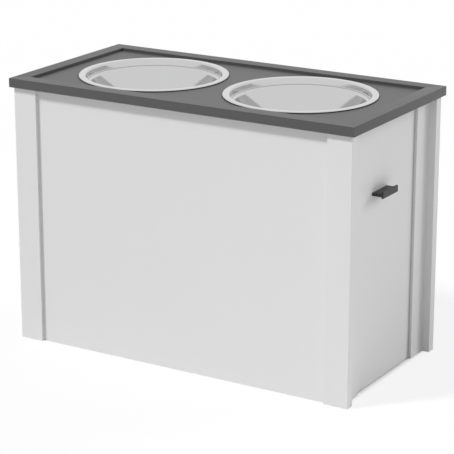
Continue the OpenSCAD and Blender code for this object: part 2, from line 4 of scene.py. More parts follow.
import bpy
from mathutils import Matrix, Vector


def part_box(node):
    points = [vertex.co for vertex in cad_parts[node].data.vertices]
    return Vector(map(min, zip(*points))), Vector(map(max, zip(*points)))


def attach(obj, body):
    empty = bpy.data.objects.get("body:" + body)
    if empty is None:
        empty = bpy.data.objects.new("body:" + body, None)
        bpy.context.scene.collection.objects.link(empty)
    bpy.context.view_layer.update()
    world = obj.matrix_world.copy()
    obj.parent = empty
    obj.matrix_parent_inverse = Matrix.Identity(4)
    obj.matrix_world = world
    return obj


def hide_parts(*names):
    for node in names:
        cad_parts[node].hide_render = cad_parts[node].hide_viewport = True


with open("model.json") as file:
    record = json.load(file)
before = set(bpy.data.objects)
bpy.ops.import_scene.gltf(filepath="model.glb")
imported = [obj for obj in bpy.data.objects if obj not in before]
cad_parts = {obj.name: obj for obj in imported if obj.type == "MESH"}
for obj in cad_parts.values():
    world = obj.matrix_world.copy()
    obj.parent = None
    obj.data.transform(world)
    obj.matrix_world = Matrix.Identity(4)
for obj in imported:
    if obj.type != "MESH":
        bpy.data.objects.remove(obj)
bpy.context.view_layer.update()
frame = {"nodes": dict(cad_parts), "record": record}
cadNodes = frame["nodes"]
bodyOfNode = {n: b for b, members in frame["record"]["behaviour"]["bodies"].items() for n in members}
print("frame loaded:", len(cadNodes), "nodes")


# what counts as the same point, as one plane and as one direction
tolerances = {
    "merge": 0.000002, "ringMerge": 0.000001, "headEnd": 0.0001,  # metres
    "flat": 0.5, "sharp": 35.0, "smooth": 40.0,  # degrees
    "alongAxis": 0.999, "flatFace": 0.995, "facing": 0.9,  # parts of a direction of length 1
}


# working helpers
def selectOnly(piece):
    bpy.ops.object.select_all(action="DESELECT")
    piece.select_set(True)
    bpy.context.view_layer.objects.active = piece


def editAll(piece, selectMode="FACE"):
    selectOnly(piece)
    bpy.ops.object.mode_set(mode="EDIT")
    bpy.ops.mesh.select_mode(type=selectMode)
    bpy.ops.mesh.select_all(action="SELECT")


def leaveEdit():
    bpy.ops.object.mode_set(mode="OBJECT")


def copyOfNode(node, name):
    # a merged copy of the node's loose triangles, with its flat faces made whole again
    piece = bpy.data.objects.new(name, cadNodes[node].data.copy())
    piece.data.materials.clear()
    bpy.context.scene.collection.objects.link(piece)
    editAll(piece)
    bpy.ops.mesh.remove_doubles(threshold=tolerances["merge"])
    bpy.ops.mesh.dissolve_limited(angle_limit=math.radians(tolerances["flat"]))
    leaveEdit()
    return piece


def applyAll(piece):
    selectOnly(piece)
    for modifier in list(piece.modifiers):
        bpy.ops.object.modifier_apply(modifier=modifier.name)


def easeEdges(piece, width, steps, along=None):
    # a small round on the sharp edges, or only on those that run along one axis
    if along is not None:
        weights = piece.data.attributes.new("bevel_weight_edge", "FLOAT", "EDGE")
        for edge in piece.data.edges:
            a, b = (piece.data.vertices[v].co for v in edge.vertices)
            run = (b - a).normalized()
            weights.data[edge.index].value = 1.0 if abs(run[along]) > tolerances["alongAxis"] else 0.0
    bevel = piece.modifiers.new("round", "BEVEL")
    bevel.width = width
    bevel.segments = steps
    bevel.limit_method = "ANGLE" if along is None else "WEIGHT"
    bevel.angle_limit = math.radians(tolerances["sharp"])
    bevel.miter_outer = "MITER_ARC"
    bevel.use_clamp_overlap = True
    weighted = piece.modifiers.new("flat faces", "WEIGHTED_NORMAL")
    weighted.keep_sharp = True
    selectOnly(piece)
    bpy.ops.object.shade_smooth()
    applyAll(piece)
    markEdges(piece)


def markEdges(piece):
    # 1 on the rounds between the flat faces, so that a finish can wear there
    mark = piece.data.attributes.new("easedEdge", "FLOAT", "FACE")
    for face in piece.data.polygons:
        flat = max(abs(c) for c in face.normal) >= tolerances["flatFace"]
        mark.data[face.index].value = 0.0 if flat else 1.0


def turnedShape(name, profile, centre, sides):
    # a ring of edges extruded from point to point of a profile of (radius, height)
    radius, height = profile[0]
    bpy.ops.object.select_all(action="DESELECT")
    bpy.ops.mesh.primitive_circle_add(vertices=sides, radius=radius, location=centre + Vector((0, 0, height)))
    piece = bpy.context.object
    piece.name = name
    editAll(piece, "EDGE")
    for nextRadius, nextHeight in profile[1:]:
        bpy.ops.mesh.extrude_edges_move(TRANSFORM_OT_translate={"value": (0, 0, nextHeight - height)})
        share = nextRadius / radius
        middle = centre + Vector((0, 0, nextHeight))
        bpy.ops.transform.resize(value=(share, share, 1), center_override=middle)
        radius, height = nextRadius, nextHeight
    bpy.ops.mesh.select_all(action="SELECT")
    bpy.ops.mesh.remove_doubles(threshold=tolerances["ringMerge"])
    bpy.ops.mesh.fill_holes(sides=0)
    bpy.ops.mesh.select_all(action="SELECT")
    bpy.ops.mesh.normals_make_consistent(inside=False)
    leaveEdit()
    bpy.ops.object.transform_apply(location=True, rotation=True, scale=True)
    return piece


def arcPoints(centre, radius, start, end, steps):
    # points along an arc between two angles in degrees
    turn = (end - start) / steps
    angles = [math.radians(start + turn * i) for i in range(steps + 1)]
    return [(centre[0] + radius * math.cos(a), centre[1] + radius * math.sin(a)) for a in angles]


def topMiddle(node):
    # the middle of the top of a node's box
    low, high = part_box(node)
    return Vector(((low.x + high.x) / 2, (low.y + high.y) / 2, high.z))


def dress(piece, material, node):
    # gives the piece its material, puts it on the body that it moves with and hides the node that it stands
    # for
    piece.data.materials.clear()
    piece.data.materials.append(material)
    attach(piece, bodyOfNode[node])
    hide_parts(node)


# node groups that the finishes are made of, with their scales and the noise values that they show between
patterns = {
    "speckScale": 2600.0, "specks": (0.66, 0.74), "rubbed": (0.45, 0.65),
    "scratchScale": (1.0, 1.0, 14.0), "scratchTurn": (0.3, 0.2, 0.5), "scratches": (0.58, 0.72),
    "scratchedScale": 9.0, "scratched": (0.45, 0.7),
    "climb": 1.3, "turnedDrift": 30.0, "bandScale": 0.06,
    # the next four shape the ring of painted contact shade about the bowls
    "contactShadeDrift": 45.0, "contactShadeWander": 0.0016, "contactShadeFadeIn": 0.0006, "contactShadeFadeOut": 0.0009,
    "grainScale": (0.05, 1.0, 1.0), "grainDrift": 22.0, "grainBend": 0.016, "grainTwist": 1.5,
    "poreScale": (0.03, 1.0, 1.0), "pores": (0.5, 0.75),
}


def newGroup(name, inputs, outputs):
    tree = bpy.data.node_groups.new(name, "ShaderNodeTree")
    for label, kind, value in inputs:
        socket = tree.interface.new_socket(label, in_out="INPUT", socket_type="NodeSocket" + kind)
        if value is not None:
            socket.default_value = value
    for label, kind in outputs:
        tree.interface.new_socket(label, in_out="OUTPUT", socket_type="NodeSocket" + kind)
    return tree, tree.nodes.new("NodeGroupInput"), tree.nodes.new("NodeGroupOutput")


def addNode(tree, kind, inputs=None, **settings):
    # a node whose inputs are given as values or as the sockets that feed them
    node = tree.nodes.new("ShaderNode" + kind)
    for name, value in settings.items():
        setattr(node, name, value)
    for name, value in (inputs or {}).items():
        if isinstance(value, bpy.types.NodeSocket):
            tree.links.new(value, node.inputs[name])
        else:
            node.inputs[name].default_value = value
    return node


def mixFloat(tree, share, a, b):
    return addNode(tree, "Mix", {0: share, 2: a, 3: b}, data_type="FLOAT").outputs[0]


def mixColour(tree, share, a, b):
    return addNode(tree, "Mix", {0: share, 6: a, 7: b}, data_type="RGBA").outputs[2]


def calculate(tree, operation, *values):
    return addNode(tree, "Math", dict(enumerate(values)), operation=operation).outputs[0]


def product(tree, first, *others):
    for other in others:
        first = calculate(tree, "MULTIPLY", first, other)
    return first


def ramp(tree, value, low, high):
    return addNode(tree, "MapRange", {0: value, 1: low, 2: high, 3: 0.0, 4: 1.0}).outputs[0]


def noise(tree, vector, scale, detail, roughness=0.5):
    inputs = {"Vector": vector, "Scale": scale, "Detail": detail, "Roughness": roughness}
    return addNode(tree, "TexNoise", inputs).outputs


def aboutCentre(tree, vector, centre):
    back = tuple(-c for c in centre)
    return addNode(tree, "Mapping", {"Vector": vector, "Location": back}, vector_type="POINT").outputs[0]


def awayFromAxis(tree, vector):
    # the distance from the upright axis, and the height
    parts = addNode(tree, "SeparateXYZ", {"Vector": vector}).outputs
    flat = addNode(tree, "CombineXYZ", {"X": parts[0], "Y": parts[1], "Z": 0.0})
    return addNode(tree, "VectorMath", {0: flat.outputs[0]}, operation="LENGTH").outputs["Value"], parts[2]


def paintSkinGroup():
    # the fine orange peel of a sprayed or pressed coat, its faint clouds and its dust specks
    tree, given, made = newGroup("paintSkin", [
        ("Vector", "Vector", None), ("Peel Scale", "Float", 700.0), ("Cloud Scale", "Float", 7.0),
    ], [("Peel", "Float"), ("Cloud", "Float"), ("Specks", "Float")])
    vector = given.outputs["Vector"]
    peel = noise(tree, vector, given.outputs["Peel Scale"], 2.0, 0.55)
    cloud = noise(tree, vector, given.outputs["Cloud Scale"], 4.0, 0.6)
    specks = noise(tree, vector, patterns["speckScale"], 1.0)
    tree.links.new(peel[0], made.inputs["Peel"])
    tree.links.new(cloud[0], made.inputs["Cloud"])
    tree.links.new(ramp(tree, specks[0], *patterns["specks"]), made.inputs["Specks"])
    return tree


def edgeWearGroup():
    # rubbed patches along the eased edges
    tree, given, made = newGroup("edgeWear", [
        ("Vector", "Vector", None), ("Edge", "Float", 0.0),
        ("Patch Scale", "Float", 60.0), ("Amount", "Float", 0.5),
    ], [("Mask", "Float")])
    patches = noise(tree, given.outputs["Vector"], given.outputs["Patch Scale"], 5.0, 0.65)
    rubbed = ramp(tree, patches[0], *patterns["rubbed"])
    worn = product(tree, rubbed, given.outputs["Edge"], given.outputs["Amount"])
    tree.links.new(worn, made.inputs["Mask"])
    return tree


def scuffGroup():
    # short fine scratches that run mostly one way
    tree, given, made = newGroup("scuffs", [
        ("Vector", "Vector", None), ("Scale", "Float", 40.0), ("Amount", "Float", 0.5),
    ], [("Mask", "Float")])
    vector = given.outputs["Vector"]
    stretched = addNode(tree, "Mapping", {
        "Vector": vector, "Scale": patterns["scratchScale"], "Rotation": patterns["scratchTurn"]})
    fine = noise(tree, stretched.outputs[0], given.outputs["Scale"], 8.0, 0.75)
    broad = noise(tree, vector, patterns["scratchedScale"], 2.0)
    lines = ramp(tree, fine[0], *patterns["scratches"])
    places = ramp(tree, broad[0], *patterns["scratched"])
    tree.links.new(product(tree, lines, places, given.outputs["Amount"]), made.inputs["Mask"])
    return tree


def turnedLinesGroup():
    # rings left by polishing on the turning bench, about a centre that a Mapping node gives
    tree, given, made = newGroup("turnedLines", [
        ("Vector", "Vector", None), ("Spacing", "Float", 0.0004), ("Wobble", "Float", 0.00008),
    ], [("Rings", "Float"), ("Bands", "Float")])
    vector = given.outputs["Vector"]
    radius, height = awayFromAxis(tree, vector)
    along = calculate(tree, "ADD", radius, product(tree, height, patterns["climb"]))
    drift = noise(tree, vector, patterns["turnedDrift"], 2.0)
    moved = calculate(tree, "ADD", along, product(tree, drift[0], given.outputs["Wobble"]))
    counted = calculate(tree, "DIVIDE", moved, given.outputs["Spacing"])
    place = addNode(tree, "CombineXYZ", {"X": counted, "Y": 0.0, "Z": 0.0}).outputs[0]
    rings = noise(tree, place, 1.0, 3.0, 0.7)
    bands = noise(tree, place, patterns["bandScale"], 2.0)
    tree.links.new(rings[0], made.inputs["Rings"])
    tree.links.new(bands[0], made.inputs["Bands"])
    return tree


def contactShadeRingGroup():
    # a thin broken dark ring about a centre that a Mapping node gives: painted shade standing in for the
    # contact shadow under a bowl's rolled edge
    tree, given, made = newGroup("contactShadeRing", [
        ("Vector", "Vector", None), ("Inner", "Float", 0.116), ("Outer", "Float", 0.1195),
    ], [("Mask", "Float")])
    vector, inner, outer = (given.outputs[label] for label in ("Vector", "Inner", "Outer"))
    radius = awayFromAxis(tree, vector)[0]
    drift = noise(tree, vector, patterns["contactShadeDrift"], 4.0)
    nearest = calculate(tree, "SUBTRACT", radius, patterns["contactShadeWander"] / 2)
    wavy = calculate(tree, "MULTIPLY_ADD", drift[0], patterns["contactShadeWander"], nearest)
    within = ramp(tree, wavy, inner, calculate(tree, "ADD", inner, patterns["contactShadeFadeIn"]))
    fadeAt = calculate(tree, "SUBTRACT", outer, patterns["contactShadeFadeOut"])
    beyond = addNode(tree, "MapRange", {0: wavy, 1: fadeAt, 2: outer, 3: 1.0, 4: 0.0}).outputs[0]
    tree.links.new(product(tree, within, beyond), made.inputs["Mask"])
    return tree


def woodGrainGroup():
    # year rings cut lengthwise, with fine pores, along the Mapping node's X
    tree, given, made = newGroup("woodGrain", [
        ("Vector", "Vector", None), ("Ring Scale", "Float", 160.0), ("Pore Scale", "Float", 900.0),
    ], [("Rings", "Float"), ("Pores", "Float")])
    vector = given.outputs["Vector"]
    longWay = addNode(tree, "Mapping", {"Vector": vector, "Scale": patterns["grainScale"]}).outputs[0]
    drift = noise(tree, longWay, patterns["grainDrift"], 3.0)
    bend = [patterns["grainBend"]] * 3
    bent = addNode(tree, "VectorMath", {0: drift["Color"], 1: bend}, operation="MULTIPLY").outputs[0]
    moved = addNode(tree, "VectorMath", {0: longWay, 1: bent}, operation="ADD").outputs[0]
    rings = addNode(tree, "TexWave", {
        "Vector": moved, "Scale": given.outputs["Ring Scale"], "Distortion": patterns["grainTwist"],
        "Detail": 2.0}, wave_type="RINGS", rings_direction="X", wave_profile="SAW")
    poreWay = addNode(tree, "Mapping", {"Vector": vector, "Scale": patterns["poreScale"]}).outputs[0]
    pores = noise(tree, poreWay, given.outputs["Pore Scale"], 2.0)
    tree.links.new(rings.outputs["Fac"], made.inputs["Rings"])
    tree.links.new(ramp(tree, pores[0], *patterns["pores"]), made.inputs["Pores"])
    return tree


sharedGroups = {
    "paintSkin": paintSkinGroup(),
    "edgeWear": edgeWearGroup(),
    "scuffs": scuffGroup(),
    "turnedLines": turnedLinesGroup(),
    "contactShadeRing": contactShadeRingGroup(),
    "woodGrain": woodGrainGroup(),
}
print("node groups made")


def useGroup(tree, name, inputs):
    node = tree.nodes.new("ShaderNodeGroup")
    node.node_tree = sharedGroups[name]
    for label, value in inputs.items():
        if isinstance(value, bpy.types.NodeSocket):
            tree.links.new(value, node.inputs[label])
        else:
            node.inputs[label].default_value = value
    return node.outputs


# finishes, with the values that all coats, metals or woods share
coatShared = {"glossDrift": 0.03, "wornRoughness": 0.75, "scuffGloss": 0.12}
metalShared = {
    "scuffScale": 70.0, "scuffGloss": 0.1, "mottleShade": (0.3, 0.7), "mottleGloss": (0.35, 0.65),
    "bump": 0.3, "bumpHeight": 0.00004,
}
woodShared = {"lateGloss": 0.1, "bump": 0.4, "poreDepth": 0.00015}


def newFinish(name):
    material = bpy.data.materials.new(name)
    material.use_nodes = True
    tree = material.node_tree
    shader = tree.nodes["Principled BSDF"]
    place = addNode(tree, "TexCoord").outputs["Object"]
    return material, tree, shader, place


def solid(colour, share=1.0):
    return (*[c * share for c in colour], 1.0)


def addBump(tree, shader, strength, distance, height, **settings):
    inputs = {"Strength": strength, "Distance": distance, "Height": height}
    bump = addNode(tree, "Bump", inputs, **settings)
    tree.links.new(bump.outputs[0], shader.inputs["Normal"])


def coatedFinish(name, look, contactShadesAbout=()):
    # lacquer, melamine, epoxy or moulded plastic: one coat with its peel, clouds, scuffs and worn edges, and
    # a ring of painted contact shade about each centre given
    material, tree, shader, place = newFinish(name)
    skin = useGroup(tree, "paintSkin", {"Vector": place, "Peel Scale": look["peelScale"]})
    edge = addNode(tree, "Attribute", attribute_name="easedEdge").outputs["Fac"]
    wear = useGroup(tree, "edgeWear", {"Vector": place, "Edge": edge, "Amount": look["wear"]})[0]
    scuffs = useGroup(tree, "scuffs", {"Vector": place, "Amount": look["scuffs"]})[0]
    colour = mixColour(tree, skin["Cloud"], solid(look["colour"], 1.0 - look["cloud"]), solid(look["colour"]))
    specks = product(tree, skin["Specks"], look["specks"])
    colour = mixColour(tree, specks, colour, solid(look["speckColour"]))
    colour = mixColour(tree, wear, colour, solid(look["wornColour"]))
    # painted shade: a dark ring in the coat's colour where each bowl's rolled edge meets the tray, standing
    # in for the contact shadow there
    for centre in contactShadesAbout:
        mark = useGroup(tree, "contactShadeRing", {"Vector": aboutCentre(tree, place, centre)})[0]
        colour = mixColour(tree, product(tree, mark, look["contactShades"]), colour, solid(look["contactShadeColour"]))
    tree.links.new(colour, shader.inputs["Base Color"])
    base, drift = look["roughness"], coatShared["glossDrift"]
    gloss = mixFloat(tree, skin["Cloud"], base - drift, base + drift)
    gloss = mixFloat(tree, wear, gloss, coatShared["wornRoughness"])
    gloss = calculate(tree, "ADD", gloss, product(tree, scuffs, coatShared["scuffGloss"]))
    tree.links.new(gloss, shader.inputs["Roughness"])
    addBump(tree, shader, look["peelStrength"], look["peelHeight"], skin["Peel"])
    shader.inputs["Specular IOR Level"].default_value = look["gloss"]
    return material


def metalFinish(name, look, centre=None):
    # bare or plated metal, with rings about its own axis where it was turned
    material, tree, shader, place = newFinish(name)
    scratching = {"Vector": place, "Scale": metalShared["scuffScale"], "Amount": look["scuffs"]}
    scuffs = useGroup(tree, "scuffs", scratching)[0]
    mottle = noise(tree, place, look["mottleScale"], 4.0)[0]
    dark = solid(look["colour"], 1.0 - look["mottle"])
    colour = mixColour(tree, ramp(tree, mottle, *metalShared["mottleShade"]), dark, solid(look["colour"]))
    base, spread = look["roughness"], look["spread"]
    gloss = mixFloat(tree, ramp(tree, mottle, *metalShared["mottleGloss"]), base - spread, base + spread)
    gloss = calculate(tree, "ADD", gloss, product(tree, scuffs, metalShared["scuffGloss"]))
    if centre:
        middle = aboutCentre(tree, place, centre)
        turned = useGroup(tree, "turnedLines", {"Vector": middle, "Spacing": look["lineSpacing"]})
        gloss = calculate(tree, "ADD", gloss, product(tree, turned["Rings"], look["lineGloss"]))
        colour = mixColour(tree, product(tree, turned["Bands"], look["bandShade"]), colour, dark)
        addBump(tree, shader, look["lineStrength"], look["lineDepth"], turned["Rings"])
    else:
        addBump(tree, shader, metalShared["bump"], metalShared["bumpHeight"], mottle)
    tree.links.new(colour, shader.inputs["Base Color"])
    tree.links.new(gloss, shader.inputs["Roughness"])
    shader.inputs["Metallic"].default_value = 1.0
    return material


def woodFinish(name, look, turn):
    # planed wood whose grain runs along X, or along the way that it is turned to
    material, tree, shader, place = newFinish(name)
    way = addNode(tree, "Mapping", {"Vector": place, "Rotation": turn}).outputs[0]
    grain = useGroup(tree, "woodGrain", {"Vector": way, "Ring Scale": look["ringScale"]})
    colour = mixColour(tree, grain["Rings"], solid(look["early"]), solid(look["late"]))
    colour = mixColour(tree, product(tree, grain["Pores"], look["pores"]), colour, solid(look["pore"]))
    tree.links.new(colour, shader.inputs["Base Color"])
    gloss = mixFloat(tree, grain["Rings"], look["roughness"], look["roughness"] - woodShared["lateGloss"])
    tree.links.new(gloss, shader.inputs["Roughness"])
    addBump(tree, shader, woodShared["bump"], woodShared["poreDepth"], grain["Pores"], invert=True)
    return material


greyLook = {
    "colour": (0.086, 0.086, 0.088), "cloud": 0.05, "roughness": 0.5, "gloss": 0.5,
    "peelScale": 650.0, "peelHeight": 0.00003, "peelStrength": 0.25,
    "specks": 0.15, "speckColour": (0.14, 0.14, 0.14), "scuffs": 0.4,
    "wear": 0.35, "wornColour": (0.15, 0.15, 0.15),
    # the next two set the painted contact shade about the bowls: its strength and its near-black colour
    "contactShades": 0.85, "contactShadeColour": (0.018, 0.018, 0.018),
}
whiteLook = {
    "colour": (0.8, 0.8, 0.8), "cloud": 0.02, "roughness": 0.45, "gloss": 0.5,
    "peelScale": 700.0, "peelHeight": 0.00003, "peelStrength": 0.2,
    "specks": 0.1, "speckColour": (0.7, 0.7, 0.7), "scuffs": 0.3,
    "wear": 0.3, "wornColour": (0.72, 0.71, 0.69),
}
boardLook = {
    "colour": (0.79, 0.79, 0.78), "cloud": 0.03, "roughness": 0.55, "gloss": 0.4,
    "peelScale": 1300.0, "peelHeight": 0.00006, "peelStrength": 0.35,
    "specks": 0.3, "speckColour": (0.68, 0.68, 0.66), "scuffs": 0.5,
    "wear": 0.5, "wornColour": (0.6, 0.56, 0.48),
}
sheetLook = {
    "colour": (0.78, 0.78, 0.76), "cloud": 0.05, "roughness": 0.6, "gloss": 0.35,
    "peelScale": 2000.0, "peelHeight": 0.00005, "peelStrength": 0.3,
    "specks": 0.35, "speckColour": (0.62, 0.6, 0.56), "scuffs": 0.6,
    "wear": 0.4, "wornColour": (0.4, 0.28, 0.17),
}
pullLook = {
    "colour": (0.028, 0.028, 0.03), "cloud": 0.12, "roughness": 0.45, "gloss": 0.4,
    "peelScale": 2400.0, "peelHeight": 0.00004, "peelStrength": 0.5,
    "specks": 0.4, "speckColour": (0.06, 0.06, 0.06), "scuffs": 0.6,
    "wear": 0.5, "wornColour": (0.12, 0.12, 0.12),
}
epoxyLook = {
    "colour": (0.72, 0.72, 0.7), "cloud": 0.04, "roughness": 0.35, "gloss": 0.5,
    "peelScale": 500.0, "peelHeight": 0.00006, "peelStrength": 0.35,
    "specks": 0.2, "speckColour": (0.6, 0.6, 0.58), "scuffs": 1.0,
    "wear": 0.8, "wornColour": (0.42, 0.42, 0.42),
}
nylonLook = {
    "colour": (0.78, 0.78, 0.74), "cloud": 0.06, "roughness": 0.5, "gloss": 0.45,
    "peelScale": 1800.0, "peelHeight": 0.00003, "peelStrength": 0.3,
    "specks": 0.25, "speckColour": (0.62, 0.62, 0.58), "scuffs": 1.0,
    "wear": 0.5, "wornColour": (0.55, 0.55, 0.52),
}
steelLook = {
    "colour": (0.6, 0.6, 0.605), "mottle": 0.03, "mottleScale": 14.0,
    "roughness": 0.06, "spread": 0.02, "scuffs": 0.5,
    "lineSpacing": 0.0005, "lineGloss": 0.04, "bandShade": 0.3, "lineStrength": 0.03, "lineDepth": 0.00002,
}
zincLook = {
    "colour": (0.6, 0.6, 0.58), "mottle": 0.25, "mottleScale": 350.0,
    "roughness": 0.36, "spread": 0.08, "scuffs": 1.0,
}
pineLook = {
    "early": (0.66, 0.47, 0.27), "late": (0.5, 0.31, 0.15), "pore": (0.4, 0.26, 0.14), "pores": 0.35,
    "ringScale": 130.0, "roughness": 0.68,
}
beechLook = {
    "early": (0.6, 0.4, 0.24), "late": (0.52, 0.33, 0.19), "pore": (0.36, 0.2, 0.11), "pores": 0.5,
    "ringScale": 320.0, "roughness": 0.6,
}
finishes = {
    "grey_lacquer": coatedFinish("greyLacquer", greyLook),
    "white_lacquer": coatedFinish("whiteLacquer", whiteLook),
    "white_board": coatedFinish("whiteBoard", boardLook),
    "drawer_sheet": coatedFinish("drawerSheet", sheetLook),
    "pull_metal": coatedFinish("pullCoat", pullLook),
    "runner_epoxy": coatedFinish("runnerEpoxy", epoxyLook),
    "nylon": coatedFinish("rollerNylon", nylonLook),
    "zinc": metalFinish("zincPlate", zincLook),
    "batten_wood": woodFinish("pineAlong", pineLook, (0.0, 0.0, 0.0)),
    "beech": woodFinish("beechAlong", beechLook, (0.0, 0.0, math.pi / 2)),
}
pineAcross = woodFinish("pineAcross", pineLook, (0.0, 0.0, math.pi / 2))
bowlMiddles = [topMiddle("bowl_left"), topMiddle("bowl_right")]
trayLacquer = coatedFinish("trayLacquer", greyLook, bowlMiddles)  # painted contact shade in a dark ring where the bowls' rolled edges meet the tray
slotOfNode = {s["node"]: s["material_slot"] for s in frame["record"]["subparts"]}
print("finishes made")


# boards: eased copies of the boards that the cabinet and the drawer are made of
boards = {
    "rims": {"ease": 0.0006, "steps": 2},
    "tray": {"ease": 0.0004, "steps": 2},
    "panels": {"ease": 0.0006, "steps": 2},
    "drawer": {"ease": 0.0008, "steps": 2},
    "inside": {"ease": 0.0006, "steps": 2},
    "battens": {"ease": 0.0012, "steps": 2},
    "runners": {"ease": 0.0003, "steps": 1},
}


def makeBoard(node, name, sizes, along=None, material=None):
    piece = copyOfNode(node, name)
    easeEdges(piece, sizes["ease"], sizes["steps"], along)
    dress(piece, material or finishes[slotOfNode[node]], node)


for node, name, way in (("rim_front", "rimFront", 0), ("rim_back", "rimBack", 0),
                        ("rim_left", "rimLeft", 1), ("rim_right", "rimRight", 1)):
    makeBoard(node, name, boards["rims"], along=way)
makeBoard("top_tray", "tray", boards["tray"], material=trayLacquer)
for node, name in (("front_panel", "frontPanel"), ("back_panel", "backPanel"), ("left_panel", "leftPanel"),
                   ("front_stile_left", "frontStileLeft"), ("front_stile_right", "frontStileRight"),
                   ("back_stile_left", "backStileLeft"), ("back_stile_right", "backStileRight"),
                   ("left_stile_front", "leftStileFront"), ("left_stile_back", "leftStileBack"),
                   ("right_stile_front", "rightStileFront"), ("right_stile_back", "rightStileBack")):
    makeBoard(node, name, boards["panels"])
for node, name in (("drawer_face", "drawerFace"), ("drawer_inner_front", "drawerInnerFront"),
                   ("drawer_back", "drawerBack"), ("drawer_side_front", "drawerSideFront"),
                   ("drawer_side_back", "drawerSideBack")):
    makeBoard(node, name, boards["drawer"])
for node, name in (("bottom_board", "bottomBoard"), ("guide_board_front", "guideBoardFront"),
                   ("guide_board_back", "guideBoardBack"), ("drawer_bottom", "drawerBottom")):
    makeBoard(node, name, boards["inside"])
for node, name in (("bottom_cleat_front", "bottomCleatFront"), ("bottom_cleat_back", "bottomCleatBack"),
                   ("top_cleat_front", "topCleatFront"), ("top_cleat_back", "topCleatBack")):
    makeBoard(node, name, boards["battens"])
for node, name in (("tie_rail_left", "tieRailLeft"), ("tie_rail_right", "tieRailRight")):
    makeBoard(node, name, boards["battens"], material=pineAcross)
for node, name in (("cabinet_runner_front", "cabinetRunnerFront"),
                   ("cabinet_runner_back", "cabinetRunnerBack"),
                   ("drawer_runner_front", "drawerRunnerFront"), ("drawer_runner_back", "drawerRunnerBack")):
    makeBoard(node, name, boards["runners"])
print("boards, battens and runners made")


# bowls: pressed and spun steel, rolled at the edge
bowl = {
    "flange": 0.0115, "throatBend": 0.003, "sideLean": 0.001, "shoulder": 0.0095,
    "footBend": 0.0008, "drawIn": 0.009, "ledgeBend": 0.0055,
    "depth": 0.065, "taper": 0.026, "corner": 0.014, "metal": 0.0008, "roll": 0.00115,
    "bottomRings": (0.0015, 0.02, 0.04, 0.06), "sides": 192, "bendSteps": 10, "rollSteps": 20,
}


def leanBetween(a, b, reach):
    # the angle at which a straight leaves the two rounds on either side of it
    across, up = b[0] - a[0], b[1] - a[1]
    return math.degrees(math.atan2(up, across) - math.acos(reach / math.hypot(across, up)))


def bowlProfile(radius):
    # (radius, height) from the middle of the inside, over the rolled edge, to the middle of the outside
    metal, steps = bowl["metal"], bowl["bendSteps"]
    base = metal - bowl["depth"]
    throat = radius - bowl["flange"]
    wall = throat - bowl["drawIn"]
    cornerAt = (wall - bowl["taper"], base + bowl["corner"])
    ledgeAt = (wall + bowl["ledgeBend"], -bowl["shoulder"] - bowl["ledgeBend"])
    footAt = (throat - bowl["sideLean"] - bowl["footBend"], bowl["footBend"] - bowl["shoulder"])
    throatAt = (throat + bowl["throatBend"], -bowl["throatBend"])
    rollAt = (radius - bowl["roll"], -bowl["roll"])
    wallLean = leanBetween(cornerAt, ledgeAt, bowl["corner"] + bowl["ledgeBend"])
    sideLean = leanBetween(footAt, throatAt, bowl["footBend"] + bowl["throatBend"])
    rollEnd = math.degrees(math.asin((bowl["roll"] - metal) / bowl["roll"]))
    inside = [(r, base) for r in bowl["bottomRings"]]
    inside += arcPoints(cornerAt, bowl["corner"], -90, wallLean, steps)
    inside += arcPoints(ledgeAt, bowl["ledgeBend"], 180 + wallLean, 90, steps)
    inside += arcPoints(footAt, bowl["footBend"], -90, sideLean, steps)
    inside += arcPoints(throatAt, bowl["throatBend"], 180 + sideLean, 90, steps)
    edge = arcPoints(rollAt, bowl["roll"], 90, -180 - rollEnd, bowl["rollSteps"])
    outside = arcPoints(throatAt, bowl["throatBend"] - metal, 90, 180 + sideLean, steps)
    outside += arcPoints(footAt, bowl["footBend"] + metal, sideLean, -90, steps)
    outside += arcPoints(ledgeAt, bowl["ledgeBend"] - metal, 90, 180 + wallLean, steps)
    outside += arcPoints(cornerAt, bowl["corner"] + metal, wallLean, -90, steps)
    outside += [(r, -bowl["depth"]) for r in reversed(bowl["bottomRings"])]
    return inside + edge + outside


for node, name in (("bowl_left", "bowlLeft"), ("bowl_right", "bowlRight")):
    low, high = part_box(node)
    middle = topMiddle(node)
    piece = turnedShape(name, bowlProfile((high.x - low.x) / 2), middle, bowl["sides"])
    bpy.ops.object.shade_smooth_by_angle(angle=math.radians(tolerances["smooth"]))
    weighted = piece.modifiers.new("even shine", "WEIGHTED_NORMAL")
    weighted.keep_sharp = True
    applyAll(piece)
    dress(piece, metalFinish(name + "Steel", steelLook, tuple(middle)), node)
print("bowls made")


# pull: a shelf with an upright lip, folded from flat bar
pull = {"lip": 0.003, "lipHeight": 0.010, "lipDrop": 0.0022, "shelf": 0.0048, "ease": 0.00045, "steps": 3}


def facesWhere(piece, test):
    # in edit mode, selects the faces that the test picks by middle and normal
    bpy.ops.mesh.select_all(action="DESELECT")
    leaveEdit()
    for face in piece.data.polygons:
        face.select = test(face.center, face.normal)
    bpy.ops.object.mode_set(mode="EDIT")


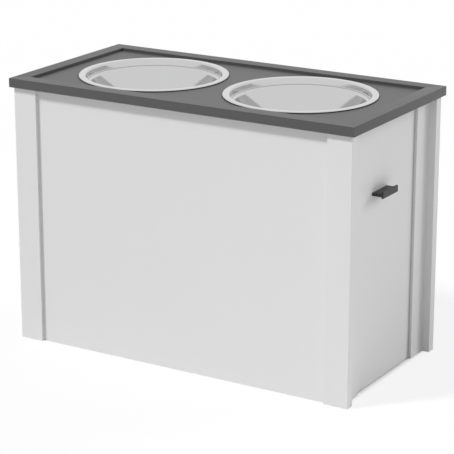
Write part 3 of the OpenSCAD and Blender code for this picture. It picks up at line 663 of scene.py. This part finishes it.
low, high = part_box("pull")
shelfLow = low.z + pull["lipDrop"]
shelfEnd = high.x - pull["lip"]
bpy.ops.object.select_all(action="DESELECT")
bpy.ops.mesh.primitive_cube_add(
    size=1, location=((low.x + shelfEnd) / 2, (low.y + high.y) / 2, shelfLow + pull["shelf"] / 2),
    scale=(shelfEnd - low.x, high.y - low.y, pull["shelf"]))
pullPiece = bpy.context.object
pullPiece.name = "pullBar"
bpy.ops.object.transform_apply(location=True, rotation=True, scale=True)
editAll(pullPiece)
facesWhere(pullPiece, lambda c, n: n.x > tolerances["facing"])
bpy.ops.mesh.extrude_region_move(TRANSFORM_OT_translate={"value": (pull["lip"], 0, 0)})
lipRise = pull["lipHeight"] - pull["lipDrop"] - pull["shelf"]
facesWhere(pullPiece, lambda c, n: n.z > tolerances["facing"] and c.x > shelfEnd)
bpy.ops.mesh.extrude_region_move(TRANSFORM_OT_translate={"value": (0, 0, lipRise)})
facesWhere(pullPiece, lambda c, n: n.z < -tolerances["facing"] and c.x > shelfEnd)
bpy.ops.mesh.extrude_region_move(TRANSFORM_OT_translate={"value": (0, 0, -pull["lipDrop"])})
bpy.ops.mesh.select_all(action="SELECT")
bpy.ops.mesh.normals_make_consistent(inside=False)
leaveEdit()
easeEdges(pullPiece, pull["ease"], pull["steps"])
dress(pullPiece, finishes["pull_metal"], "pull")
print("pull made")


# rollers: moulded nylon wheels with a hub and a recess on each face
roller = {"bore": 0.00255, "hub": 0.0042, "recess": 0.0008, "rim": 0.0016, "round": 0.0004, "sides": 72}


def rollerProfile(radius, width):
    # one face from bore to rim, then the same face turned over
    inner = radius - roller["rim"]
    bore, hub, r, d = (roller[key] for key in ("bore", "hub", "round", "recess"))
    half = [(bore, d * 0.5), (bore + r, 0.0), (hub - r, 0.0), (hub, r), (hub, d),
            (inner, d), (inner, r), (inner + r, 0.0), (radius - r, 0.0), (radius, r)]
    return half + [(p[0], width - p[1]) for p in reversed(half)] + [half[0]]


for node, name in (("cabinet_roller_front", "cabinetRollerFront"),
                   ("cabinet_roller_back", "cabinetRollerBack"),
                   ("drawer_roller_front", "drawerRollerFront"), ("drawer_roller_back", "drawerRollerBack")):
    low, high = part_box(node)
    profile = rollerProfile((high.x - low.x) / 2, high.y - low.y)
    piece = turnedShape(name, profile, Vector((0, 0, 0)), roller["sides"])
    piece.rotation_euler = (-math.pi / 2, 0, 0)
    piece.location = ((low.x + high.x) / 2, low.y, (low.z + high.z) / 2)
    selectOnly(piece)
    bpy.ops.object.transform_apply(location=True, rotation=True, scale=True)
    bpy.ops.object.shade_smooth_by_angle(angle=math.radians(tolerances["sharp"]))
    markEdges(piece)
    dress(piece, finishes["nylon"], node)
print("rollers made")


# screws: rounded heads with a cross recess
screw = {"ease": 0.0003, "steps": 2, "slotWidth": 0.0007, "slotLength": 0.0034, "slotDepth": 0.0007}


def looseParts(mesh):
    # the vertices of each separate solid in a mesh
    owner = list(range(len(mesh.vertices)))

    def root(i):
        while owner[i] != i:
            owner[i] = owner[owner[i]]
            i = owner[i]
        return i

    for edge in mesh.edges:
        a, b = root(edge.vertices[0]), root(edge.vertices[1])
        owner[a] = b
    parts = {}
    for vertex in mesh.vertices:
        parts.setdefault(root(vertex.index), []).append(vertex.co.copy())
    return list(parts.values())


def headOf(points):
    # the middle of a screw's head and the axis that it faces along
    low = Vector([min(p[i] for p in points) for i in range(3)])
    high = Vector([max(p[i] for p in points) for i in range(3)])
    size = high - low
    axis = max(range(3), key=lambda i: size[i])
    middle = (low + high) / 2
    ends = {}
    for side, at in ((-1, low[axis]), (1, high[axis])):
        near = [p for p in points if abs(p[axis] - at) < tolerances["headEnd"]]
        ends[side] = (max((p - middle).length_squared - (p[axis] - middle[axis]) ** 2 for p in near), at)
    side = max(ends, key=lambda s: ends[s][0])
    middle[axis] = ends[side][1]
    return middle, axis


def makeScrews(node, name):
    piece = copyOfNode(node, name)
    heads = [headOf(part) for part in looseParts(piece.data)]
    cutters = []
    for middle, axis in heads:
        for long in (i for i in range(3) if i != axis):
            size = [screw["slotWidth"]] * 3
            size[long] = screw["slotLength"]
            size[axis] = 2 * screw["slotDepth"]
            bpy.ops.object.select_all(action="DESELECT")
            bpy.ops.mesh.primitive_cube_add(size=1, location=middle, scale=size)
            cutters.append(bpy.context.object)
    easeEdges(piece, screw["ease"], screw["steps"])
    bpy.ops.object.select_all(action="DESELECT")
    for cutter in cutters:
        cutter.select_set(True)
    bpy.context.view_layer.objects.active = cutters[0]
    bpy.ops.object.join()
    cross = bpy.context.object
    recess = piece.modifiers.new("recess", "BOOLEAN")
    recess.operation = "DIFFERENCE"
    recess.object = cross
    recess.solver = "EXACT"
    recess.use_self = True
    applyAll(piece)
    bpy.data.objects.remove(cross)
    dress(piece, finishes["zinc"], node)


for node, name in (("pull_screws", "pullScrews"), ("drawer_face_screws", "drawerFaceScrews"),
                   ("drawer_box_screws", "drawerBoxScrews"), ("drawer_runner_screws", "drawerRunnerScrews"),
                   ("cabinet_runner_screws", "cabinetRunnerScrews"), ("guide_screws", "guideScrews"),
                   ("top_screws", "topScrews"), ("top_cleat_screws", "topCleatScrews"),
                   ("bottom_board_screws", "bottomBoardScrews"),
                   ("bottom_cleat_screws", "bottomCleatScrews")):
    makeScrews(node, name)
print("screws made")

# the nodes that keep their own shape
for node in ("cam_discs", "cam_bolts", "corner_dowels", "guide_dowels"):
    mesh = cadNodes[node].data
    mesh.materials.clear()
    mesh.materials.append(finishes[slotOfNode[node]])
print("fixings dressed")


# floor, light and camera
studio = {
    "floorSize": 16.0, "floorColour": 0.82, "floorCloud": 0.01, "floorRoughness": 0.9, "floorGloss": 0.1,
    "floorShown": 0.8, "worldLight": 0.3,
    "keyLight": 2.2, "keySoftness": 9.0, "keyFrom": (-0.42, -0.48, 0.77),
    "sideLight": 1.2, "sideSoftness": 30.0, "sideFrom": (0.55, 0.75, 0.35),
    "underLength": 0.288, "underWidth": 0.139, "underFade": 0.04,
}


def lightPathShare(tree):
    # 1 for the rays that show the background: the camera's own, and those by way of metal
    rays = addNode(tree, "LightPath").outputs
    seen = calculate(tree, "MAXIMUM", rays["Is Camera Ray"], rays["Is Glossy Ray"])
    return calculate(tree, "MAXIMUM", seen, rays["Is Transmission Ray"])


bpy.ops.object.select_all(action="DESELECT")
bpy.ops.mesh.primitive_plane_add(size=studio["floorSize"], location=(0, 0, 0))
floor = bpy.context.object
floor.name = "studioFloor"
floorMaterial = bpy.data.materials.new("studioFloor")
floorMaterial.use_nodes = True
tree = floorMaterial.node_tree
shader = tree.nodes["Principled BSDF"]
place = addNode(tree, "TexCoord").outputs["Object"]
cloud = noise(tree, place, 2.0, 3.0)[0]
tone = studio["floorColour"]
plain = mixColour(tree, cloud, solid([tone] * 3), solid([tone + studio["floorCloud"]] * 3))
tree.links.new(mixColour(tree, lightPathShare(tree), plain, (1, 1, 1, 1)), shader.inputs["Base Color"])
shader.inputs["Roughness"].default_value = studio["floorRoughness"]
shader.inputs["Specular IOR Level"].default_value = studio["floorGloss"]
white = addNode(tree, "Emission", {"Color": (1, 1, 1, 1), "Strength": 1.0})
# under the cabinet the floor is as dark as its shadow makes it
parts = addNode(tree, "SeparateXYZ", {"Vector": place}).outputs
alongX = calculate(tree, "DIVIDE", calculate(tree, "ABSOLUTE", parts[0]), studio["underLength"])
alongY = calculate(tree, "DIVIDE", calculate(tree, "ABSOLUTE", parts[1]), studio["underWidth"])
outside = ramp(tree, calculate(tree, "MAXIMUM", alongX, alongY), 1.0 - studio["underFade"], 1.0)
shown = product(tree, lightPathShare(tree), outside, studio["floorShown"])
blended = addNode(tree, "MixShader", {0: shown, 1: shader.outputs[0], 2: white.outputs[0]})
tree.links.new(blended.outputs[0], tree.nodes["Material Output"].inputs["Surface"])
floor.data.materials.append(floorMaterial)

world = bpy.data.worlds.new("studioWorld")
bpy.context.scene.world = world
world.use_nodes = True
tree = world.node_tree
background = tree.nodes["Background"]
background.inputs["Color"].default_value = (1, 1, 1, 1)
tree.links.new(mixFloat(tree, lightPathShare(tree), studio["worldLight"], 1.0), background.inputs["Strength"])


def addLamp(name, strength, softness, comesFrom):
    # a far soft light, the same over the whole floor
    lamp = bpy.data.lights.new(name, "SUN")
    lamp.energy = strength
    lamp.angle = math.radians(softness)
    holder = bpy.data.objects.new(name, lamp)
    bpy.context.scene.collection.objects.link(holder)
    holder.rotation_euler = (-Vector(comesFrom)).to_track_quat("-Z", "Y").to_euler()
    holder.visible_glossy = False  # the steel shows the white room, not the lamps


addLamp("keyLight", studio["keyLight"], studio["keySoftness"], studio["keyFrom"])
addLamp("sideLight", studio["sideLight"], studio["sideSoftness"], studio["sideFrom"])

view = {
    "place": (1.5104, -2.4897, 1.0919), "turn": 31.206, "tilt": 17.154,
    "lens": 154.62, "sensor": 36.0, "nearest": 0.1, "farthest": 50.0,
}
cameraData = bpy.data.cameras.new("camera")
cameraData.lens = view["lens"]
cameraData.sensor_width = view["sensor"]
cameraData.clip_start, cameraData.clip_end = view["nearest"], view["farthest"]
camera = bpy.data.objects.new("camera", cameraData)
bpy.context.scene.collection.objects.link(camera)
camera.location = view["place"]
camera.rotation_euler = (math.radians(90 - view["tilt"]), 0, math.radians(view["turn"]))
bpy.context.scene.camera = camera
bpy.context.scene.view_settings.view_transform = "Standard"
print("studio ready")
